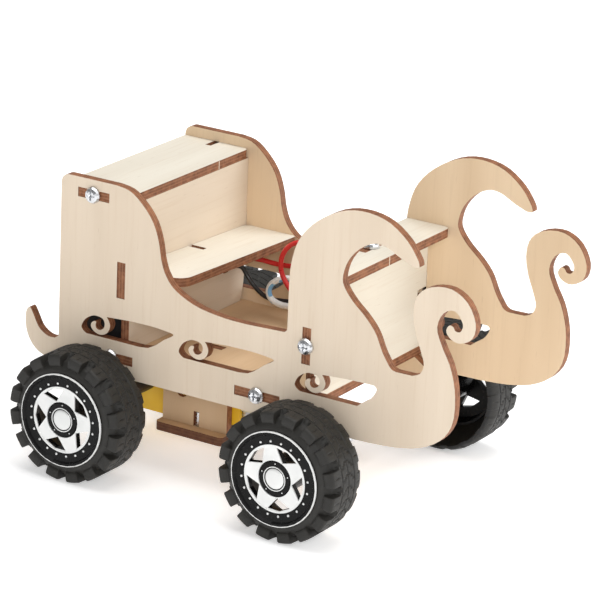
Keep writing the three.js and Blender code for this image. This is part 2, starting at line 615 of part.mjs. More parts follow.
function batteryBox() {
  const outer = box(BOX.x, BOX.y, BOX.z);
  const inner = box([BOX.x[0] + 2, BOX.x[1] + 1], BOX.y.map((y) => y - Math.sign(y) * WALL),
    [BOX.z[0] + WALL, BOX.z[1] - WALL]);
  const wall = [BOX.x[0] - 1, BOX.x[0] + 3];
  const window = box(wall, [SWITCH.y - 4, SWITCH.y + 4], [SWITCH.z - 1.6, SWITCH.z + 1.6]);
  return cut(outer, inner, window);
}

// The lid closes the box's front and is held in its rim.
function batteryLid() {
  const x = BOX.x[1];
  const gap = 0.2;
  return box([x - 1.6, x], BOX.y.map((y) => y - Math.sign(y) * (WALL + gap)),
    [BOX.z[0] + WALL + gap, BOX.z[1] - WALL - gap]);
}

const CELL = { x: -6.7, radius: 7.1, half: 25.2 };
const CELL_Z = [48, 62.4];
add('battery_box', batteryBox(), BLACK());
add('battery_lid', batteryLid(), BLACK());
CELL_Z.forEach((z, i) => {
  const profile = [[0, -CELL.half], [CELL.radius, -CELL.half], [CELL.radius, CELL.half], [2.6, CELL.half],
    [2.6, CELL.half + 1], [0, CELL.half + 1]];
  const flip = i % 2 ? -1 : 1;
  add(`cell_${i + 1}`, turned(profile.map(([r, y]) => [r, flip * y]), CELL.x, z, 24), YELLOW());
});
const knobY = [SWITCH.y - 3.6, SWITCH.y - 0.6];
const knob = box([BOX.x[0] - 1.4, BOX.x[0] + 0.5], knobY, [SWITCH.z - 1.3, SWITCH.z + 1.3]);
add('switch_slider', knob, WHITE());

// Receiver board on the rear of the front panel, with its parts standing towards the cabin.
const BOARD = { x: FRONT_PANEL_X - 0.3 - 1.6, y: [-29, -4], z: [44, 68] };
const standing = (y, z, height) => box([BOARD.x - height, BOARD.x + 0.1], y, z);
add('receiver_board', join(box([BOARD.x, BOARD.x + 1.6], BOARD.y, BOARD.z), standing([-9, -5], [46, 58], 3.4),
  standing([-22, -14], [50, 58], 1.5), standing([-27, -20], [60, 66], 4)), paint(0x1f6b3a, 0.5));

// ---------------------------------------------------------------- leads
const LEADS = {
  // battery box, through the backrest, down behind the white loop, through the floor to the motor
  lead_black: { radius: 0.8, color: 0x151515, route: [[3.1, 21, 53.8], [8, 21, 53.8], [11, 22.6, 54.8],
    [13.4, 24.1, 54.4], [15.2, 24.7, 51.7], [17.4, 24.8, 49.3], [19.6, 24.9, 47.4], [22, 25, 46],
    [25, 25.1, 45.4], [28.6, 25.1, 45.6], [32.4, 25, 46], [36.4, 24.6, 45.8], [41, 22.3, 44.6], [45.2, 18, 43],
    [48.2, 13.2, 41.8], [49.7, 9.6, 40.4], [50.2, 7.6, 38.4], [50.6, 7, 36.4], [51.8, 6.8, 34.2],
    [54.6, 6.2, 32.2], [56.8, 5.2, 30.2], [57, 4.4, 28.2], [55.6, 4, 27.2], [53.8, 4, 27]] },
  // battery box, along the left plate, up and over in a loop, through the floor to the motor
  lead_red: { radius: 0.85, color: 0xc4161c, route: [[3.1, 24, 57], [8, 24, 57], [12, 25.6, 57.2],
    [17.6, 28.4, 56.9], [23, 29.8, 56.2], [28.6, 30, 56.5], [35, 28.8, 57.8], [41, 25.6, 61],
    [45, 21.6, 65.6], [44.4, 17.6, 69.6], [40.5, 15.5, 71], [36.7, 15, 68.6], [34.5, 15, 64.4],
    [34.6, 15.1, 59.8], [37, 15.1, 55.8], [42, 13.8, 51.8], [47.2, 9.8, 48.2], [50.2, 5.4, 44.2], [50.9, 4.4, 40],
    [51, 4.2, 36.6], [52.4, 2.6, 34.3], [55, -0.6, 32.6], [56.8, -2.8, 30.6], [57, -3.8, 28.4],
    [55.6, -4, 27.2], [53.8, -4, 27]] },
  // from the receiver, one standing loop, and back to the receiver
  lead_white: { radius: 1.05, color: 0xf1f1ec, route: [[69.8, -7, 48.6], [66.2, -6.4, 48.4], [60.6, -0.6, 47.6],
    [53.6, 8.6, 46.6], [45, 16.8, 45.7], [38, 21, 45.4], [33.6, 22.3, 45.4], [30.6, 22.4, 45.3],
    [28, 22.4, 45.8], [26.1, 22.3, 47.1], [25.5, 22.2, 49], [26, 22.1, 51], [27.7, 22, 52.9], [30.4, 22, 54.5],
    [33.6, 22, 55.3], [37.6, 21.2, 55.2], [43.4, 18.2, 54.3], [51, 12, 54], [58.6, 4, 54.2],
    [64.4, -3, 54.5], [66.8, -6.2, 54.6], [69.8, -7, 54.6]] },
};

function lead({ radius, route }) {
  const curve = new THREE.CatmullRomCurve3(route.map((point) => new THREE.Vector3(...point)));
  const steps = Math.ceil(curve.getLength() / (radius * 5));
  const section = new THREE.Shape();
  for (let i = 0; i < 8; i += 1) {
    const angle = (i * Math.PI) / 4;
    const move = i ? 'lineTo' : 'moveTo';
    section[move](radius * Math.cos(angle), radius * Math.sin(angle));
  }
  return toSolid(new THREE.ExtrudeGeometry(section, { steps, extrudePath: curve }));
}

for (const [name, spec] of Object.entries(LEADS)) add(name, lead(spec), wire(spec.color));

export default car;
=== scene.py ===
"""Plywood chariot car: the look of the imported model. Metres, in the frame of the CAD."""

import json
import math

import bmesh
import bpy
from mathutils import Matrix, Vector


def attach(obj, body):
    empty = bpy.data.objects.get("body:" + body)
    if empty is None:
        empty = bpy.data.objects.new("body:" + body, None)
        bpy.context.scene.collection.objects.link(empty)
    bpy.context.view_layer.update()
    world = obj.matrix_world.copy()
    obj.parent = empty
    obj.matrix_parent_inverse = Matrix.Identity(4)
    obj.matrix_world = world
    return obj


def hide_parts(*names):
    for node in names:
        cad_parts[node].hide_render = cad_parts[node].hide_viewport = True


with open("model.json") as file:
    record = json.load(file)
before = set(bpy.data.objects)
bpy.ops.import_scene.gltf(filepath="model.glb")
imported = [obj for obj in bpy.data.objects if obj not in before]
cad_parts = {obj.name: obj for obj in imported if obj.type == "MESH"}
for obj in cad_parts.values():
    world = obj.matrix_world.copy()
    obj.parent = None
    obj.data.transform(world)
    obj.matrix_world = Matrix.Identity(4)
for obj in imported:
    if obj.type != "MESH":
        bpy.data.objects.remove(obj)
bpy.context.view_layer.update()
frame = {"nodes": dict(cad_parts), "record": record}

MM = 0.001
REAR_AXLE_X = -52.9 * MM
AXLE_Z = 21.5 * MM
AXLE_X = {"rear": REAR_AXLE_X, "front": REAR_AXLE_X + 81 * MM}
SIDES = {"right": -1, "left": 1}

# Wheel sizes in mm: the tread's middle and the rim's face, out from the mid-plane, and radii of rim and star.
TYRE_MIDDLE_Y = 49.4
FACE_Y = 59.35
RIM_R = 15.3
STAR_R = 10.9


# ---------------------------------------------------------------- camera
# Angles in degrees, lens and sensor in mm, place in metres from the ground below the rear axle's middle.
CAMERA = {
    "azimuth": 31.648,
    "elevation": 19.073,
    "roll": 2.463,
    "lens": 216.96,
    "sensor": 36,
    "place": (0.62393, -0.93065, 0.4365),
}


def add_camera():
    """Long lens from the front right, a little above, turned slightly about its own axis."""
    azimuth, elevation, roll = (math.radians(CAMERA[name]) for name in ("azimuth", "elevation", "roll"))
    back = Vector(
        (
            math.sin(azimuth) * math.cos(elevation),
            -math.cos(azimuth) * math.cos(elevation),
            math.sin(elevation),
        )
    )
    right = Vector((math.cos(azimuth), math.sin(azimuth), 0))
    up = back.cross(right)
    turned_right = math.cos(roll) * right + math.sin(roll) * up
    turned_up = -math.sin(roll) * right + math.cos(roll) * up
    data = bpy.data.cameras.new("camera")
    data.sensor_width = CAMERA["sensor"]
    data.lens = CAMERA["lens"]
    camera = bpy.data.objects.new("camera", data)
    bpy.context.collection.objects.link(camera)
    axes = Matrix((turned_right, turned_up, back)).transposed()
    x, y, z = CAMERA["place"]
    camera.matrix_world = Matrix.Translation((x + REAR_AXLE_X, y, z)) @ axes.to_4x4()
    bpy.context.scene.camera = camera


# ---------------------------------------------------------------- material helpers
class Paint:
    """Builds one material's node tree. A pattern sits on the object's own coordinates."""

    def __init__(self, name):
        self.material = bpy.data.materials.new(name)
        self.material.use_nodes = True
        self.nodes = self.material.node_tree.nodes
        self.links = self.material.node_tree.links
        self.shader = self.nodes["Principled BSDF"]
        coordinates = self.nodes.new("ShaderNodeTexCoord")
        self.place = coordinates.outputs["Object"]
        self.normal = coordinates.outputs["Normal"]

    def link(self, source, target):
        self.links.new(source, target)

    def scaled(self, scale):
        node = self.nodes.new("ShaderNodeMapping")
        node.inputs["Scale"].default_value = scale
        self.link(self.place, node.inputs["Vector"])
        return node.outputs["Vector"]

    def noise(self, scale, detail=3, roughness=0.5):
        """Noise that repeats scale[axis] times a metre along each axis."""
        node = self.nodes.new("ShaderNodeTexNoise")
        node.inputs["Scale"].default_value = 1
        node.inputs["Detail"].default_value = detail
        node.inputs["Roughness"].default_value = roughness
        self.link(self.scaled(scale), node.inputs["Vector"])
        return node.outputs["Fac"]

    def ramp(self, factor, *stops):
        """Colour looked up between stops, each a position and a colour."""
        node = self.nodes.new("ShaderNodeValToRGB")
        elements = node.color_ramp.elements
        while len(elements) < len(stops):
            elements.new(0.5)
        for element, (position, colour) in zip(elements, stops):
            element.position = position
            element.color = (*colour, 1)
        self.link(factor, node.inputs["Fac"])
        return node.outputs["Color"]

    def band(self, factor, low, high, to_low=0.0, to_high=1.0):
        """Smooth step of factor between low and high, mapped onto to_low and to_high."""
        node = self.nodes.new("ShaderNodeMapRange")
        node.interpolation_type = "SMOOTHSTEP"
        limits = {"From Min": low, "From Max": high, "To Min": to_low, "To Max": to_high}
        for name, value in limits.items():
            node.inputs[name].default_value = value
        self.link(factor, node.inputs["Value"])
        return node.outputs["Result"]

    def math(self, operation, first, second=None):
        node = self.nodes.new("ShaderNodeMath")
        node.operation = operation
        for socket, value in zip(node.inputs, (first, second)):
            if isinstance(value, (int, float)):
                socket.default_value = value
            elif value is not None:
                self.link(value, socket)
        return node.outputs["Value"]

    def mix(self, factor, first, second):
        """Blend of two colours; each argument is a socket or a constant."""
        node = self.nodes.new("ShaderNodeMix")
        node.data_type = "RGBA"
        sockets = {s.identifier: s for s in node.inputs}
        chosen = zip(("Factor_Float", "A_Color", "B_Color"), (factor, first, second))
        for identifier, value in chosen:
            socket = sockets[identifier]
            if isinstance(value, tuple):
                socket.default_value = (*value, 1)
            elif isinstance(value, (int, float)):
                socket.default_value = value
            else:
                self.link(value, socket)
        return next(s for s in node.outputs if s.identifier == "Result_Color")

    def axis(self, vector, index):
        node = self.nodes.new("ShaderNodeSeparateXYZ")
        self.link(vector, node.inputs["Vector"])
        return node.outputs[index]

    def colour(self, source):
        self.link(source, self.shader.inputs["Base Color"])

    def roughness(self, source):
        self.link(source, self.shader.inputs["Roughness"])

    def bump(self, height, strength, distance):
        node = self.nodes.new("ShaderNodeBump")
        node.inputs["Strength"].default_value = strength
        node.inputs["Distance"].default_value = distance
        self.link(height, node.inputs["Height"])
        self.link(node.outputs["Normal"], self.shader.inputs["Normal"])

    def set(self, **values):
        for name, value in values.items():
            self.shader.inputs[name.replace("_", " ")].default_value = value
        return self.material


# Darkest and lightest veneer tone of each look. Only the first is the birch's own tone; the others are it
# with light or shade painted in, as each panel is lit: paler for painted glare, warmer for painted bounce
# light, deeper and warmer for painted light bounced round the cabin, and darker for painted shade under the
# floor.
VENEER = {
    "pale": ((0.665, 0.55, 0.425), (0.74, 0.625, 0.495)),
    "glare_bleached": ((0.71, 0.65, 0.545), (0.775, 0.725, 0.62)),
    "bounce_warm": ((0.68, 0.51, 0.335), (0.76, 0.59, 0.405)),
    "cabin_bounce_amber": ((0.70, 0.48, 0.28), (0.78, 0.56, 0.35)),
    "shade_tan": ((0.56, 0.39, 0.235), (0.64, 0.46, 0.29)),
}


PLY_STEP = 1.05 * MM  # from one paler ply on the cut edge to the next
FIBRE_TONE = (0.54, 0.38, 0.24)
PORE_TONE = (0.36, 0.22, 0.12)
BURNT_DARK = (0.11, 0.036, 0.016)
BURNT_LIGHT = (0.33, 0.135, 0.062)
PLY_TONE = (0.42, 0.21, 0.11)
# Near-black brown that a cut edge is darkened towards as painted shade
EDGE_SHADE_TONE = (0.05, 0.018, 0.01)


def drawn_out(axis, across, along):
    """Repeats a metre along each axis, of a pattern stretched along one of them."""
    repeats = [across] * 3
    repeats[axis] = along
    return repeats


def plywood(veneer, thickness, grain, edge_shade=0.0):
    """Bare birch ply: pale figured faces, and laser-burnt edges that show the plies.

    thickness is the axis through the sheet, grain the axis the face veneer runs along, and the last, from 0
    to 1, how far the cut edge is darkened towards a near-black brown as painted shade."""
    p = Paint(f"ply_{veneer}_{'xyz'[thickness]}")
    fibre = p.noise(drawn_out(grain, 1100, 34), detail=4, roughness=0.6)
    pore = p.noise(drawn_out(grain, 2600, 160), detail=2)
    figure = p.noise(drawn_out(grain, 70, 9), detail=2)
    dark, light = VENEER[veneer]
    face = p.ramp(figure, (0.3, dark), (0.7, light))
    face = p.mix(p.band(fibre, 0.5, 0.74, 0, 0.15), face, FIBRE_TONE)
    face = p.mix(p.band(pore, 0.68, 0.78, 0, 0.3), face, PORE_TONE)
    # plies and laser scorching on the cut edge, then the painted shade that darkens it further
    layers = p.math("SINE", p.math("MULTIPLY", p.axis(p.place, thickness), 2 * math.pi / PLY_STEP))
    soot = p.noise([420] * 3, detail=4, roughness=0.7)
    edge = p.ramp(soot, (0.3, BURNT_DARK), (0.72, BURNT_LIGHT))
    edge = p.mix(p.band(layers, -0.2, 0.9, 0, 0.35), edge, PLY_TONE)
    edge = p.mix(edge_shade, edge, EDGE_SHADE_TONE)
    facing = p.math("ABSOLUTE", p.axis(p.normal, thickness))
    is_face = p.band(facing, 0.6, 0.8)
    p.colour(p.mix(is_face, edge, face))
    p.roughness(p.band(fibre, 0.2, 0.8, 0.56, 0.74))
    relief = p.math("ADD", p.math("MULTIPLY", fibre, 0.7), p.math("MULTIPLY", layers, 0.2))
    p.bump(relief, 0.22, 0.12 * MM)
    return p.set(Specular_IOR_Level=0.3)


def speckled(name, dark, light, roughness, grain=900, metallic=0.0, bump=0.15, coat=0.0, specular=0.5):
    """Moulded or plated surface with faint mottling, uneven gloss and a fine skin texture."""
    p = Paint(name)
    fine = p.noise([grain] * 3, detail=3)
    broad = p.noise([90] * 3, detail=2)
    p.colour(p.ramp(broad, (0.3, dark), (0.7, light)))
    p.roughness(p.band(fine, 0.3, 0.7, roughness * 0.82, min(1, roughness * 1.2)))
    p.bump(fine, bump, 0.05 * MM)
    return p.set(Metallic=metallic, Coat_Weight=coat, Specular_IOR_Level=specular)


def rubber():
    """Matt black tyre rubber with patches of dust, a mould's fine pebble, and painted shade on the walls that
    face the car.
    """
    p = Paint("tyre_rubber")
    pebble = p.noise([2400] * 3, detail=4, roughness=0.7)
    dust = p.noise([120] * 3, detail=5, roughness=0.65)
    black = p.ramp(pebble, (0.25, (0.008, 0.0073, 0.006)), (0.8, (0.019, 0.0175, 0.014)))
    worn = p.mix(p.band(dust, 0.52, 0.78, 0, 0.2), black, (0.045, 0.042, 0.036))
    # walls that face the car, negative here, are painted blacker as painted shade
    outward_for_painted_shade = p.math("MULTIPLY", p.axis(p.normal, 1), p.axis(p.place, 1))
    p.colour(p.mix(p.band(outward_for_painted_shade, -0.03, -0.012), (0.004, 0.004, 0.004), worn))
    p.roughness(p.band(pebble, 0.25, 0.75, 0.46, 0.7))
    p.bump(pebble, 0.35, 0.12 * MM)
    return p.set(Specular_IOR_Level=0.42)


def brushed(name, tint, roughness, lines):
    """Metal with fine lines; lines gives the pattern's repeats a metre along each axis."""
    p = Paint(name)
    streak = p.noise(lines, detail=3)
    dull = tuple(0.72 * c for c in tint)
    p.colour(p.ramp(streak, (0.25, dull), (0.75, tint)))
    p.roughness(p.band(streak, 0.25, 0.75, roughness * 0.75, roughness * 1.35))
    p.bump(streak, 0.12, 0.04 * MM)
    return p.set(Metallic=1.0)


def dashed_white():
    """White insulation with pale blue dashes printed along its forward, lower side."""
    p = Paint("lead_white_print")
    fine = p.noise([900] * 3, detail=3)
    patches = p.noise([150] * 3, detail=0)
    base = p.ramp(fine, (0.3, (0.80, 0.80, 0.78)), (0.7, (0.90, 0.90, 0.88)))
    facing = p.math("SUBTRACT", p.axis(p.normal, 0), p.axis(p.normal, 2))
    printed = p.math("MULTIPLY", p.band(patches, 0.47, 0.49), p.band(facing, 0.1, 0.3))
    p.colour(p.mix(printed, base, (0.22, 0.47, 0.74)))
    p.roughness(p.band(fine, 0.3, 0.7, 0.28, 0.42))
    p.bump(fine, 0.12, 0.04 * MM)
    return p.material


X, Y, Z = range(3)
MATERIALS = {
    "side_right": plywood("pale", Y, Z),
    # The far side plate, and any panel not listed below, gets a warmer veneer: painted warm bounce light.
    "side_left": plywood("bounce_warm", Y, Z),
    "backrest": plywood("pale", X, Y),
    # The front panel, roof, seat and hood get a paler veneer: painted glare from the lights they face.
    "front": plywood("glare_bleached", X, Y),
    "deck": plywood("glare_bleached", Z, Y),
    # The floor gets a deeper, warmer veneer: painted light bounced round the cabin.
    "floor": plywood("cabin_bounce_amber", Z, Y),
    # The motor mounts and the base plate get a darker veneer: painted shade under the floor.
    "mount": plywood("shade_tan", Y, Z),
    # The base plate's cut edge is darkened further: painted shade under the car.
    "base": plywood("shade_tan", Z, Y, edge_shade=0.6),
    "yellow": speckled("moulded_yellow", (0.80, 0.46, 0.012), (0.90, 0.56, 0.02), 0.42),
    "can": brushed("motor_steel", (0.66, 0.67, 0.69), 0.3, [160, 2600, 2600]),
    "ivory": speckled("moulded_ivory", (0.72, 0.70, 0.62), (0.82, 0.80, 0.73), 0.45),
    "strap": speckled("strap_clear", (0.66, 0.58, 0.36), (0.76, 0.68, 0.46), 0.2, coat=0.4),
    "black": speckled(
        "moulded_black", (0.012, 0.012, 0.013), (0.022, 0.022, 0.023), 0.4, grain=1600, bump=0.3
    ),
    "rod": brushed("axle_steel", (0.62, 0.63, 0.65), 0.25, [2200, 120, 2200]),
    "rubber": rubber(),
    "gloss_black": speckled(
        "rim_gloss", (0.004, 0.004, 0.004), (0.008, 0.008, 0.008), 0.24, bump=0.06, specular=0.12
    ),
    "foil": speckled("star_foil", (0.68, 0.69, 0.68), (0.80, 0.80, 0.79), 0.36, grain=700, metallic=0.3),
    "bead_white": speckled("bead_white", (0.68, 0.68, 0.66), (0.78, 0.78, 0.77), 0.4),
    "zinc": brushed("screw_zinc", (0.72, 0.73, 0.75), 0.24, [1500, 1500, 1500]),
    "cell": speckled("cell_sleeve", (0.45, 0.33, 0.07), (0.55, 0.40, 0.09), 0.3, coat=0.3),
    "board": speckled("board_green", (0.025, 0.13, 0.055), (0.04, 0.18, 0.08), 0.35, coat=0.5),
    "wire_black": speckled("insulation_black", (0.010, 0.010, 0.011), (0.02, 0.02, 0.021), 0.36),
    "wire_red": speckled("insulation_red", (0.56, 0.018, 0.018), (0.68, 0.03, 0.028), 0.32),
    "wire_white": dashed_white(),
}

# The look of each material slot in the record, apart from plywood, whose look goes by the panel.
SLOT_LOOK = {
    "gearbox_yellow": "yellow",
    "motor_steel": "can",
    "white_plastic": "ivory",
    "strap_clear": "strap",
    "black_plastic": "black",
    "steel": "rod",
    "tyre_rubber": "rubber",
    "rim_black": "gloss_black",
    "star_silver": "foil",
    "screw_zinc": "zinc",
    "box_black": "black",
    "cell_wrap": "cell",
    "board_green": "board",
    "lead_black": "wire_black",
    "lead_red": "wire_red",
    "lead_white": "wire_white",
}
PLYWOOD_LOOK = {
    "side_plate_right": "side_right",
    "backrest_panel": "backrest",
    "front_panel": "front",
    "floor_panel": "floor",
    "motor_base_plate": "base",
    "motor_mount_right": "mount",
    "motor_mount_left": "mount",
    "roof_panel": "deck",
    "seat_panel": "deck",
    "hood_panel": "deck",
}


def paint_cad_nodes():
    """Give every CAD node its look."""
    slots = {part["node"]: part["material_slot"] for part in frame["record"]["subparts"]}
    for name, slot in slots.items():
        look = PLYWOOD_LOOK.get(name, "side_left") if slot == "plywood" else SLOT_LOOK[slot]
        obj = bpy.data.objects[frame["nodes"][name].name]
        for material_slot in obj.material_slots:
            material_slot.material = MATERIALS[look]


# ---------------------------------------------------------------- mesh helpers
def new_piece(name, vertices, faces, look, smooth_angle=None):
    """New object of the given faces, smooth where they meet at less than smooth_angle degrees."""
    mesh = bpy.data.meshes.new(name)
    mesh.from_pydata(vertices, [], faces)
    mesh.update()
    work = bmesh.new()
    work.from_mesh(mesh)
    bmesh.ops.recalc_face_normals(work, faces=work.faces)
    work.to_mesh(mesh)
    work.free()
    if smooth_angle is not None:
        mesh.shade_smooth()
        mesh.set_sharp_from_angle(angle=math.radians(smooth_angle))
    mesh.materials.append(MATERIALS[look])
    obj = bpy.data.objects.new(name, mesh)
    bpy.context.collection.objects.link(obj)
    return obj


def spun(loop_at, count):
    """Vertices and faces of a ring whose closed cross-section at step i is loop_at(i), a list of points."""
    rings = [loop_at(i) for i in range(count)]
    size = len(rings[0])
    vertices = [point for ring in rings for point in ring]
    faces = []
    for i in range(count):
        here, there = i * size, (i + 1) % count * size
        for j in range(size):
            k = (j + 1) % size
            faces.append((here + j, there + j, there + k, here + k))
    return vertices, faces


def on_wheel(end, side, radius, out, angle):
    """Point of a wheel in metres; radius and the distance out from the mid-plane are in mm."""
    x = AXLE_X[end] + radius * MM * math.cos(angle)
    z = AXLE_Z + radius * MM * math.sin(angle)
    return (x, side * out * MM, z)


# ---------------------------------------------------------------- tyres
# Lengths in mm, and gaps as a share of the lugs' pitch.
LUGS = 16
STEPS_PER_LUG = 30
TREAD_HALF = 8.75
MIDDLE_HALF = 3.6  # half the width of the middle rows of small blocks
LUG_GAP = 0.34
ROW_GAP = 0.11
INNER_NOTCH = 0.2  # depth of the notches on the shoulder facing the car, as a share of the outer ones
INNER_ROUNDING = 0.9  # how far that shoulder falls away
SIPE_DEPTH = 0.4


def smooth(value, low, high):
    """Smooth step from 0 at low to 1 at high."""
    t = min(1, max(0, (value - low) / (high - low)))
    return t * t * (3 - 2 * t)


# Each station across the tyre: (valley radius, valley offset) and (block radius, block offset).
STATIONS = [
    ((15.45, 8.95), (15.45, 8.95)),
    ((16.2, 9.0), (16.2, 9.0)),
    ((17.0, 8.6), (17.0, 8.6)),
    ((17.6, 8.1), (17.7, 8.3)),
    ((18.0, 7.7), (18.0, 8.62)),
    ((18.5, 7.3), (18.6, 8.8)),
    ((18.9, 7.0), (20.4, 8.75)),
    ((19.1, 6.8), (21.0, 8.6)),
    ((19.3, 6.3), (21.35, 8.2)),
    ((19.4, 5.9), (21.46, 7.6)),
    ((19.6, 5.3), (21.5, 6.6)),
    ((20.2, 4.6), (21.5, 5.4)),
    ((21.0, 4.0), (21.5, 4.4)),
    ((21.1, 3.7), (21.5, 3.75)),
    ((21.12, 3.4), (21.12, 3.4)),
    ((21.12, 3.2), (21.5, 3.15)),
    ((21.12, 2.4), (21.5, 2.4)),
    ((21.12, 1.6), (21.5, 1.6)),
    ((21.12, 0.9), (21.5, 0.9)),
    ((21.12, 0.25), (21.5, 0.25)),
    ((21.12, 0.0), (21.12, 0.0)),
]
OUTER_STATIONS = 6  # as many stations from the first on lie on the outer wall only
# The hollow back, as (radius, out from the mid-plane), from the tyre's inner edge to the rim's barrel.
HOLLOW_BACK = [(19.15, 41.3), (19.3, 44.4), (15.45, 51.8)]


def block(phase, gap, softness=0.035):
    """1 on a block and 0 in the gap between blocks, over one pitch."""
    phase %= 1
    return smooth(phase, gap / 2, gap / 2 + softness) * smooth(1 - phase, gap / 2, gap / 2 + softness)


def tread_height(offset, phase):
    """How far the tread stands up at a place across the tyre, from 0 in a valley to 1 on a block."""
    lean = 0.5 if offset < 0 else 0.0
    across = abs(offset)
    if across > MIDDLE_HALF:
        gap = LUG_GAP if across > 5.8 else LUG_GAP * smooth(across, MIDDLE_HALF, 6.2) + 0.05
        shoulder = block(phase + lean, gap)
        return shoulder if offset > 0 else 1 - INNER_NOTCH * (1 - shoulder)
    # middle rows: interlocking blocks parted by narrow grooves that zigzag
    shift = 0.25 * smooth(across, 0.6, 2.8)
    return block(2 * (phase + lean + shift), ROW_GAP, 0.05)


def sipe(offset, phase):
    """How deep the short cut across a shoulder block's middle is, from 0 to 1."""
    lean = 0.5 if offset < 0 else 0.0
    along = abs((phase + lean) % 1 - 0.5)
    inside = 4.4 < abs(offset) < 7.4
    return 1 - smooth(along, 0.018, 0.04) if inside else 0


def tyre(end, name, side):
    """Moulded tyre, its section swept round the wheel over the lugs and the gaps between them."""
    steps = LUGS * STEPS_PER_LUG
    outer_half = [(station, 1) for station in STATIONS]
    inner_half = [(station, -1) for station in reversed(STATIONS[OUTER_STATIONS:-1])]

    def loop_at(i):
        phase = i / STEPS_PER_LUG
        angle = 2 * math.pi * i / steps
        ring = []
        for ((valley_r, valley_o), (block_r, block_o)), sign in outer_half + inner_half:
            height = tread_height(sign * block_o, phase)
            radius = valley_r + (block_r - valley_r) * height
            offset = valley_o + (block_o - valley_o) * height
            if sign < 0:
                offset = min(offset, TREAD_HALF)
                radius -= INNER_ROUNDING * smooth(offset, 5.4, TREAD_HALF) * smooth(radius, 18.2, 20)
            radius -= SIPE_DEPTH * height * sipe(sign * block_o, phase)
            ring.append(on_wheel(end, side, radius, TYRE_MIDDLE_Y + sign * offset, angle))
        ring += [on_wheel(end, side, radius, out, angle) for radius, out in HOLLOW_BACK]
        return ring

    vertices, faces = spun(loop_at, steps)
    piece = new_piece(f"tyre_{end}_{name}_moulded", vertices, faces, "rubber", 32)
    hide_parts(f"tyre_{end}_{name}")
    return piece


# ---------------------------------------------------------------- wheel trim
def turned(name, profile, end, side, look, steps=96, smooth_angle=40):
    """Ring turned about the wheel's axle from a closed profile of (radius, out) in mm."""

    def loop_at(i):
        angle = 2 * math.pi * i / steps
        return [on_wheel(end, side, radius, out, angle) for radius, out in profile]

    vertices, faces = spun(loop_at, steps)
    return new_piece(name, vertices, faces, look, smooth_angle)


def dome(end, side, centre_radius, centre_angle, radius, base, height, rings=3, steps=14):
    """Low dome standing on the wheel's face, as vertices and faces."""
    middle = (centre_radius * math.cos(centre_angle), centre_radius * math.sin(centre_angle))

    def point(spread, out, angle):
        u = middle[0] + spread * math.cos(angle)
        v = middle[1] + spread * math.sin(angle)
        return (AXLE_X[end] + u * MM, side * out * MM, AXLE_Z + v * MM)

    vertices, faces = [], []
    for ring in range(rings):
        lift = ring / rings * math.pi / 2
        for i in range(steps):
            angle = 2 * math.pi * i / steps
            vertices.append(point(radius * math.cos(lift), base + height * math.sin(lift), angle))
    vertices.append(point(0, base + height, 0))
    vertices.append(point(0, base, 0))
    top, bottom = len(vertices) - 2, len(vertices) - 1
    for ring in range(rings - 1):
        for i in range(steps):
            j = (i + 1) % steps
            a, b = ring * steps, (ring + 1) * steps
            faces.append((a + i, a + j, b + j, b + i))
    last = (rings - 1) * steps
    for i in range(steps):
        j = (i + 1) % steps
        faces.append((last + i, last + j, top))
        faces.append((j, i, bottom))
    return vertices, faces


def gather(name, parts, look, smooth_angle=50):
    """One piece made of many parts, each a pair of vertices and faces."""
    vertices, faces = [], []
    for more_vertices, more_faces in parts:
        start = len(vertices)
        vertices += more_vertices
        faces += [tuple(start + k for k in face) for face in more_faces]
    return new_piece(name, vertices, faces, look, smooth_angle)


# Radii of circles and of domes, and heights, in mm.
TRIM_Y = FACE_Y - 0.9  # the rim's sunken face, where the trim stands
BEAD_RING = [
    (RIM_R - 0.55, FACE_Y - 0.6),
    (RIM_R - 0.5, FACE_Y - 0.2),
    (RIM_R - 0.3, FACE_Y - 0.02),
    (RIM_R - 0.05, FACE_Y),
    (RIM_R + 0.25, FACE_Y - 0.05),
    (RIM_R + 0.32, FACE_Y - 0.35),
    (RIM_R + 0.3, FACE_Y - 0.6),
]
RIVETS = {"count": 20, "circle": 12.25, "radius": 0.42, "height": 0.34}
HUB_DOTS = {"count": 5, "circle": 4.95, "radius": 0.22, "height": 0.2}
CAP = {"radius": 3.35, "height": 0.42}


def flat_ring(inner, outer, height):
    """Square section of a thin ring standing on the rim's sunken face."""
    return [(inner, TRIM_Y), (outer, TRIM_Y), (outer, TRIM_Y + height), (inner, TRIM_Y + height)]


def wheel_trim(end, name, side):
    """White bead ring, rivets, thin bright ring, and the round cap with its own thin ring."""
    stem = f"{end}_{name}"

    def domes(spec, lead_in, base, **fineness):
        """Domes evenly round a circle, the first one lead_in of a step from the start."""
        around = [2 * math.pi * (i + lead_in) / spec["count"] for i in range(spec["count"])]
        sizes = (spec["radius"], base, spec["height"])
        return [dome(end, side, spec["circle"], angle, *sizes, **fineness) for angle in around]

    cap = dome(end, side, 0, 0, CAP["radius"], TRIM_Y, CAP["height"], rings=6, steps=48)
    return [
        turned(f"bead_ring_{stem}", BEAD_RING, end, side, "bead_white", 128),
        gather(f"rivets_{stem}", domes(RIVETS, 0.5, TRIM_Y + 0.02), "foil"),
        turned(f"star_edge_{stem}", flat_ring(STAR_R - 0.15, STAR_R + 0.25, 0.12), end, side, "foil"),
        turned(f"cap_ring_{stem}", flat_ring(3.75, 4.02, 0.16), end, side, "foil", 64),
        gather(f"cap_{stem}", [cap], "foil"),
        gather(f"hub_dots_{stem}", domes(HUB_DOTS, 0.25, TRIM_Y, rings=2, steps=10), "foil"),
    ]


def build_wheels():
    """Tyres and trim of all four wheels, each riding on the body that turns it."""
    for end in AXLE_X:
        for name, side in SIDES.items():
            body = "rear_axle" if end == "rear" else f"front_wheel_{name}"
            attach(tyre(end, name, side), body)
            for piece in wheel_trim(end, name, side):
                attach(piece, body)


